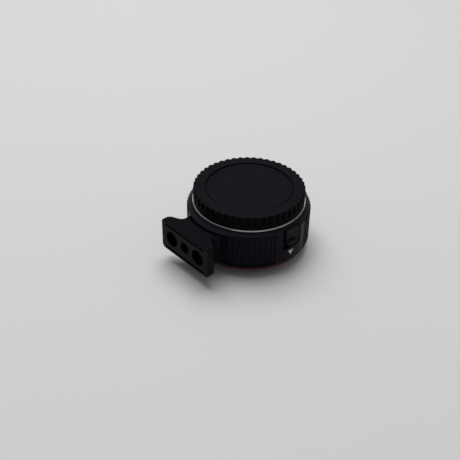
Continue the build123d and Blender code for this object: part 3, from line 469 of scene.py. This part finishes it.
def cross_screws(angles, circle, face_height, head, shank, length):
    """Screws that face down: a square grid pressed into a round head with two sunk arms, a cone and a shank.

    The grid point (u, v) lies at u * sqrt(1 - v*v / 2) and v * sqrt(1 - u*u / 2) times the head's radius.
    An arm is as deep as the smaller of its fall-offs across and along it.
    """
    half = np.array([0.05, 0.11, 0.16, 0.22, 0.4, 0.56, 0.62, 0.8, 0.93, 1.0])
    line = np.concatenate([-half[::-1], half])
    side = len(line)
    u, v = np.meshgrid(line, line, indexing="ij")
    arm_end, arm_edge, slope, arm_depth = 0.62, 0.17, 0.06, 0.45
    fall = [
        np.clip((arm_end - abs(a)) / slope, 0, 1) * np.clip((arm_edge - abs(b)) / slope, 0, 1)
        for a, b in ((u, v), (v, u))
    ]
    sink = arm_depth * head * np.maximum(*fall)
    round_x = head * u * np.sqrt(1 - v * v / 2)
    round_y = head * v * np.sqrt(1 - u * u / 2)
    top = np.stack([round_x, round_y, -sink], -1).reshape(-1, 3)
    index = np.arange(side * side).reshape(side, side)
    rim = np.concatenate([index[:-1, 0], index[-1, :-1], index[:0:-1, -1], index[0, :0:-1]])
    shares = np.array([1.0, shank / head, shank / head])
    depths = np.array([-screw_head_rim, -screw_head_rim - (head - shank), -length])
    body = top[rim][None, :, :] * shares[:, None, None]
    body[:, :, 2] = depths[:, None]
    points = np.concatenate([top, body.reshape(-1, 3), [[0, 0, -length]]])
    loops = np.concatenate([rim[None, :], side * side + np.arange(3 * len(rim)).reshape(3, -1)])
    bands = [np.stack([b, np.roll(b, -1), np.roll(a, -1), a], axis=1) for a, b in zip(loops, loops[1:])]
    fours = np.concatenate([quads(side, side)[:, ::-1], *bands])
    threes = fan(loops[-1], len(points) - 1)[:, ::-1]
    turned = points * [1, -1, -1]
    turn = np.radians(angles)[:, None]
    place = np.concatenate([circle * np.cos(turn), circle * np.sin(turn), face_height + 0 * turn], axis=1)
    first = np.arange(len(angles))[:, None, None] * len(points)
    copies = (place[:, None, :] + turned[None, :, :]).reshape(-1, 3)
    return copies, (fours[None] + first).reshape(-1, 4), (threes[None] + first).reshape(-1, 3)


plate_angles = (45, 135, 225, 315)
plate_circle = 27.6
plate_face = 4.0
shape = cross_screws(plate_angles, plate_circle, plate_face, head=1.9, shank=0.95, length=6.0)
plate_screws = mesh_piece("plate_screws_crossed", *shape, screw_steel, "adapter", "screws", sharp=25)
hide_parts("rear_plate_screws")

block_middle = 270
block_spread = 27.4
block_circle = 18.1
block_face = 0.6
block_angles = (block_middle - block_spread, block_middle + block_spread)
shape = cross_screws(block_angles, block_circle, block_face, head=1.1, shank=0.6, length=5.2)
block_screws = mesh_piece("block_screws_crossed", *shape, screw_steel, "adapter", "screws", sharp=25)
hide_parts("rear_contact_screws")

# Tripod foot: machined aluminium block, anodised black like the barrel, with two shallow grooves.
# Two black socket screws in its counterbores hold it, and the hole between them has a tripod thread.
# Painted shade: its top is rough and painted darker; bores, grooves, hole and the top's root at the barrel
# are rough and nearly black.
foot_dark, foot_light = (0.0068, 0.0062, 0.0080), (0.0080, 0.0073, 0.0093)
foot_painted_shade = (0.0004, 0.0004, 0.0005)
foot_face = -48.25
foot_middle = 17.4
foot_top = 27.0
top_fade = (0.6, 0.2)
bore_spread = 11.0
bore_radius = 4.72
bore_fade = (0.05, 0.35)
bore_depth = 5.0
groove_offset = 7.55
groove_half = 0.75
groove_reach = 16.5
groove_fade = (0.03, 0.15)
groove_depth = 0.9
hole_radius = 3.3
hole_fade = (0.7, 1.6)
hole_depth = 14.0
root_radius = 38.2
root_fade = 0.4
top_shade_and_matte = 0.64
mask_edge = 0.1


def from_pair(tree, value, middle, spread):
    """Distance from the nearer of two lines that lie at a spread on both sides of a middle."""
    off_middle = reckon(tree, "ABSOLUTE", reckon(tree, "SUBTRACT", value, middle * mm))
    return reckon(tree, "ABSOLUTE", reckon(tree, "SUBTRACT", off_middle, spread * mm))


def from_axes(tree, across, up, spread):
    """Distance from the nearer of two axes square to the foot's face, level with its middle."""
    sides = [from_pair(tree, across, 0.0, spread), from_pair(tree, up, foot_middle, 0.0)]
    squares = [reckon(tree, "MULTIPLY", side, side) for side in sides]
    return reckon(tree, "SQRT", reckon(tree, "ADD", *squares))


def sunk_in(tree, away, half_width, along, fade, depth):
    """Mask near a line or axis and down to a depth behind the foot's face. Fade is its start and length."""
    near = between(tree, away, half_width + mask_edge, half_width)
    behind = between(tree, along, foot_face + fade[0], foot_face + fade[0] + fade[1])
    before = between(tree, along, foot_face + depth + 2 * mask_edge, foot_face + depth + mask_edge)
    return reckon(tree, "MULTIPLY", near, reckon(tree, "MULTIPLY", behind, before))


foot_black = satin_black("foot_black", foot_dark, foot_light, 0.031, (0.22, 0.28))
tree = foot_black.node_tree
shader = tree.nodes["Principled BSDF"]
place = tree.nodes.new("ShaderNodeTexCoord")
split = tree.nodes.new("ShaderNodeSeparateXYZ")
tree.links.new(place.outputs["Object"], split.inputs["Vector"])
across, along, up = (split.outputs[axis] for axis in "XYZ")
radius, height = radius_and_height(tree)
top_face = between(tree, height, foot_top - top_fade[0], foot_top - top_fade[1])
by_barrel = between(tree, radius, root_radius + root_fade, root_radius - root_fade)
off_grooves = from_pair(tree, up, foot_middle, groove_offset)
grooves = sunk_in(tree, off_grooves, groove_half, along, groove_fade, groove_depth)
off_ends = between(tree, from_pair(tree, across, 0.0, 0.0), groove_reach + mask_edge, groove_reach)
off_bores = from_axes(tree, across, up, bore_spread)
off_hole = from_axes(tree, across, up, 0.0)
# Painted shade, painted nearly black: bores, tripod hole and grooves, and on the top's root at the barrel a
# painted dark reflection of the barrel and cap.
masks = [
    sunk_in(tree, off_bores, bore_radius, along, bore_fade, bore_depth),
    sunk_in(tree, off_hole, hole_radius, along, hole_fade, hole_depth),
    reckon(tree, "MULTIPLY", grooves, off_ends),
    reckon(tree, "MULTIPLY", by_barrel, top_face),
]
# The whole top is painted darker as well, as painted shade, and all these places are made rough.
painted_shade_and_matte = reckon(tree, "MULTIPLY", top_face, top_shade_and_matte)
for mask in masks:
    painted_shade_and_matte = reckon(tree, "MAXIMUM", painted_shade_and_matte, mask)
recolour(tree, shader, painted_shade_and_matte, foot_painted_shade)
plain_roughness = shader.inputs["Roughness"].links[0].from_socket
tree.links.new(reckon(tree, "MAXIMUM", plain_roughness, painted_shade_and_matte), shader.inputs["Roughness"])
dress(foot_black, "tripod_foot")

screw_dark, screw_light = (0.0010, 0.0010, 0.0012), (0.0016, 0.0016, 0.0019)
screw_black = satin_black("screw_black", screw_dark, screw_light, 0.03, (0.44, 0.56))
dress(screw_black, "foot_screws")

thread_pitch = 1.27
thread_turns = 6.5
thread_root = 3.2
thread_crest = 2.62
thread_flat = 0.16
thread_start = 0.75
thread_foot_share = 0.47
thread_fade_turns = 0.5
thread_tip = 0.04


def tripod_thread(steps=56):
    """Ridge of triangular section along a helix in the foot's hole, faded out over its end turns."""
    rows = int(steps * thread_turns) + 1
    turn = np.linspace(0, thread_turns, rows)[:, None]
    fade = np.clip(np.minimum(turn, thread_turns - turn) / thread_fade_turns, thread_tip, 1)
    crest = thread_root - (thread_root - thread_crest) * fade
    radius = np.concatenate([thread_root + 0 * turn, crest, crest, thread_root + 0 * turn], axis=1)
    half_root, half_flat = thread_foot_share * thread_pitch * fade, 0.5 * thread_flat * fade
    across = np.concatenate([-half_root, -half_flat, half_flat, half_root], axis=1)
    angle = 2 * np.pi * turn
    depth = foot_face + thread_start + half_root.max() + thread_pitch * turn + across
    across_foot, up_foot = radius * np.cos(angle), foot_middle + radius * np.sin(angle)
    points = np.stack([across_foot, depth, up_foot], -1).reshape(-1, 3)
    ends = np.array([[0, 1, 2, 3], [4 * rows - 1, 4 * rows - 2, 4 * rows - 3, 4 * rows - 4]])
    return points, np.concatenate([quads(rows, 4, closed_columns=True)[:, ::-1], ends]), np.empty((0, 3), int)


mesh_piece("tripod_thread", *tripod_thread(), foot_black, "adapter", "foot", sharp=30)

# Front cap: moulded matte plastic lid with a grip of lobes, pushed in and turned on the front bayonet.
# A narrow channel runs round the flat middle of its face, and three tabs under it hold the bayonet's lugs.
cap_radius = 32.0
cap_bottom = 30.1
cap_top = 37.9
cap_edge = 0.35
grip_count = 48
grip_phase = radians(8.1)
grip_bottom = 32.7
grip_radius = 1.25
grip_depth = 1.05
grip_end_round = 1.125
grip_lip = 0.12
grip_lip_slope = 1.5
groove_edge_loss = 0.7
land_inner = 30.5
face_radius = 25.25
face_depth = 0.5
face_lip, face_lip_middle = 0.12, 0.03
rim_round, rim_middle = 0.14, 0.04
channel_width = 0.75
channel_depth = 0.75
channel_round = 0.08
cap_ceiling = 35.6
skirt_bore = 30.6
skirt_round, skirt_lip = 0.15, 0.12
shelf_height = 32.7
seat_bore = 29.6
spigot_radius = 25.0
spigot_bore = 23.6
spigot_foot = 26.3
under_edge = 0.1
tab_top = 27.5
tab_step = 0.02
tab_reach = 1.7
tab_angles = (30, 150, 270)
tab_width = 50


def grip_sink(offset, height):
    """Depth of a grip groove: a round cutter with a round end, and lips eased by a soft maximum with zero."""
    rise = np.clip(height - grip_bottom, 0, grip_end_round)
    cutter = grip_radius - grip_end_round + np.sqrt(grip_end_round**2 - (grip_end_round - rise) ** 2)
    stand = grip_radius - grip_depth
    inside = np.sqrt(np.maximum(cutter**2 - offset**2, 0)) - stand
    sink = inside - grip_lip_slope * np.maximum(abs(offset) - cutter, 0)
    return 0.5 * (sink + np.sqrt(sink**2 + grip_lip**2))


def lobed_cap():
    """Cap as rings of points from the middle of its face, over the rim, down the grip and back under it.

    Each ring is a radius and a height. On the grip the radius drops by the groove's depth at that angle, the
    rounded edge shrinks in the grooves, and three spans of the spigot's foot stand out as tabs.
    """
    near = np.array([0, 0.35, 0.7, 0.95, 1.1, 1.2, 1.28, 1.38, 1.6])
    offset = np.concatenate([-near[::-1], near[1:], [np.pi * cap_radius / grip_count]])
    groove = np.arange(grip_count)[:, None] * 2 * np.pi / grip_count + grip_phase
    angle = (groove + offset / cap_radius).ravel()
    offset = np.tile(offset, grip_count)
    columns = len(angle)

    floor = cap_top - face_depth
    channel = floor - channel_depth
    wall = face_radius - channel_width
    face_rings = [(r, floor) for r in (1.5, 5, 10, 15, 19, 22, 24, wall - face_lip)]
    face_rings += [(wall - face_lip_middle, floor - face_lip_middle), (wall, floor - face_lip)]
    face_rings += [(wall, channel + channel_round), (wall + channel_round, channel)]
    face_rings += [(face_radius - channel_round, channel), (face_radius, channel + channel_round)]
    face_rings += [(face_radius, cap_top - rim_round), (face_radius + rim_middle, cap_top - rim_middle)]
    face_rings += [(face_radius + rim_round, cap_top)]
    face_rings += [(r, cap_top) for r in (26.5, 28.2, 29.6, land_inner)]
    rings_r, rings_z = (np.array(a)[:, None] + np.zeros(columns) for a in zip(*face_rings))

    full = grip_sink(offset, cap_top)
    edge = cap_edge * (1 - groove_edge_loss * full / full.max())
    outer = cap_radius - full - edge
    share = np.array([0.7, 0.4, 0.15])[:, None]
    land_r, land_z = outer + (land_inner - outer) * share, np.full((3, columns), cap_top)
    lean = np.radians([90, 68, 45, 22, 0])[:, None]
    edge_r, edge_z = outer + edge * np.cos(lean), cap_top - edge * (1 - np.sin(lean))

    levels = [37.1, 36.4, 35.4, 34.4, 33.95, 33.7, 33.45, 33.25]
    levels += [33.1, 32.97, 32.85, 32.75, 32.6, 32.3, 30.6, 30.25]
    grip_z = np.array(levels)[:, None] + np.zeros(columns)
    grip_r = cap_radius - grip_sink(offset, grip_z)

    away = np.abs((angle[:, None] - np.radians(tab_angles) + np.pi) % (2 * np.pi) - np.pi).min(axis=1)
    tab = np.where(away < radians(tab_width / 2), 1.0, 0.0)
    under = [(cap_radius - rim_middle, cap_bottom + rim_middle), (cap_radius - skirt_round, cap_bottom)]
    under += [(skirt_bore + skirt_round, cap_bottom), (skirt_bore, cap_bottom + skirt_lip)]
    under += [(skirt_bore, shelf_height - under_edge), (skirt_bore - under_edge, shelf_height)]
    under += [(seat_bore + under_edge, shelf_height), (seat_bore, shelf_height + under_edge)]
    under += [(seat_bore, cap_ceiling - under_edge), (seat_bore - under_edge, cap_ceiling)]
    under += [(spigot_radius + under_edge, cap_ceiling), (spigot_radius, cap_ceiling - under_edge)]
    under += [(spigot_radius, tab_top + tab_step)]
    under_r, under_z = (np.array(a)[:, None] + np.zeros(columns) for a in zip(*under))
    tab_r = spigot_radius + tab_reach * tab + np.zeros((2, 1))
    tab_z = np.array([tab_top, spigot_foot + tab_step])[:, None] + np.zeros(columns)
    inside = [(spigot_radius - under_edge, spigot_foot), (spigot_bore + under_edge, spigot_foot)]
    inside += [(spigot_bore, spigot_foot + under_edge), (spigot_bore, cap_ceiling - under_edge)]
    inside += [(r, cap_ceiling) for r in (spigot_bore - under_edge, 20, 15, 10, 5, 1.5)]
    inside_r, inside_z = (np.array(a)[:, None] + np.zeros(columns) for a in zip(*inside))

    radius = np.concatenate([rings_r, land_r, edge_r, grip_r, under_r, tab_r, inside_r])
    height = np.concatenate([rings_z, land_z, edge_z, grip_z, under_z, tab_z, inside_z])
    rows = len(radius)
    points = np.stack([radius * np.cos(angle), radius * np.sin(angle), height], -1).reshape(-1, 3)
    points = np.concatenate([points, [[0, 0, floor], [0, 0, cap_ceiling]]])
    first_ring, last_ring = np.arange(columns), np.arange(columns) + (rows - 1) * columns
    middles = np.concatenate([fan(first_ring, len(points) - 2), fan(last_ring, len(points) - 1)[:, ::-1]])
    return points, quads(rows, columns, closed_columns=True)[:, ::-1], middles


cap_dark, cap_light = (0.0056, 0.0050, 0.0065), (0.0066, 0.0059, 0.0077)
cap_black, tree, shader = new_finish("cap_black", cap_dark, 0.5, specular=0.0155, tint=(1.0, 0.92, 1.14))
spread_colour(tree, shader, noise_on_object(tree, 9 * mm), cap_dark, cap_light)
spread_roughness(tree, shader, noise_on_object(tree, 1.5 * mm), 0.46, 0.56)
bumped(tree, shader, noise_on_object(tree, 0.35 * mm), 0.02 * mm, 0.6)
cap = mesh_piece("lobed_cap", *lobed_cap(), cap_black, "cap", "cap", sharp=50)
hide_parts("front_cap")

# Floor: a plain pale board, wide enough to fill the view.
# It is painted on its upper side and lets a view from below through.
floor_half = 3.0
floor_drop = 0.05 * mm
floor_corners = np.array([(-1, -1), (1, -1), (1, 1), (-1, 1)]) * floor_half
floor_mesh = bpy.data.meshes.new("floor")
floor_mesh.from_pydata(np.column_stack([floor_corners, np.full(4, -floor_drop)]).tolist(), [], [(0, 1, 2, 3)])
floor = bpy.data.objects.new("floor", floor_mesh)
bpy.context.scene.collection.objects.link(floor)
floor_pale, tree, shader = new_finish("floor_pale", (0.585, 0.585, 0.58), 0.7, specular=0.1)
side = tree.nodes.new("ShaderNodeNewGeometry")
clear = tree.nodes.new("ShaderNodeBsdfTransparent")
either = tree.nodes.new("ShaderNodeMixShader")
tree.links.new(side.outputs["Backfacing"], either.inputs["Fac"])
tree.links.new(shader.outputs["BSDF"], either.inputs[1])
tree.links.new(clear.outputs["BSDF"], either.inputs[2])
tree.links.new(either.outputs["Shader"], tree.nodes["Material Output"].inputs["Surface"])
floor_mesh.materials.append(floor_pale)

# Light: a room that is brighter high beyond the object than on the camera's side, and one large soft lamp.
# The lamp hangs high up, beyond the object and a little to the left as the camera sees it.
# The two together light the floor to about the value of its paint.
room_tint = (0.97, 0.985, 1.0)
room_bright_side = (-0.56, 0.53, 0.64)
room_darkest, room_brightest = 0.04, 0.46
lamp_place = Vector((-0.42, 0.21, 1.31))
lamp_size = 1.15
lamp_power = 18.95

world = bpy.data.worlds.new("room")
bpy.context.scene.world = world
world.use_nodes = True
tree = world.node_tree
sky = tree.nodes["Background"]
sky.inputs["Color"].default_value = (*room_tint, 1)
towards = tree.nodes.new("ShaderNodeTexCoord")
facing = tree.nodes.new("ShaderNodeVectorMath")
facing.operation = "DOT_PRODUCT"
facing.inputs[1].default_value = room_bright_side
climb = tree.nodes.new("ShaderNodeMapRange")
climb.inputs["From Min"].default_value = -1.0
climb.inputs["From Max"].default_value = 1.0
climb.inputs["To Min"].default_value = room_darkest
climb.inputs["To Max"].default_value = room_brightest
tree.links.new(towards.outputs["Generated"], facing.inputs[0])
tree.links.new(facing.outputs["Value"], climb.inputs["Value"])
tree.links.new(climb.outputs["Result"], sky.inputs["Strength"])

lamp_data = bpy.data.lights.new("overhead", "AREA")
lamp_data.size = lamp_size
lamp_data.energy = lamp_power
lamp = bpy.data.objects.new("overhead", lamp_data)
lamp.location = lamp_place
lamp.rotation_mode = "QUATERNION"
lamp.rotation_quaternion = (-lamp_place).to_track_quat("-Z", "Y")
bpy.context.scene.collection.objects.link(lamp)

# Camera: at the photograph's height and distance, with its small roll.
# Its lens is a short telephoto on a full-frame sensor.
camera_place = Vector((278.55, -271.15, 291.86)) * mm
camera_target = Vector((3.696, -17.725, 17.488)) * mm
camera_roll = 1.108
camera_lens = 63.8
camera_sensor = 36
camera_data = bpy.data.cameras.new("camera")
camera_data.sensor_width = camera_sensor
camera_data.lens = camera_lens
camera = bpy.data.objects.new("camera", camera_data)
camera.location = camera_place
camera.rotation_mode = "QUATERNION"
look = (camera_target - camera_place).to_track_quat("-Z", "Y")
camera.rotation_quaternion = look @ Quaternion((0, 0, 1), radians(camera_roll))
bpy.context.scene.collection.objects.link(camera)
bpy.context.scene.camera = camera
bpy.context.scene.view_settings.view_transform = "Standard"
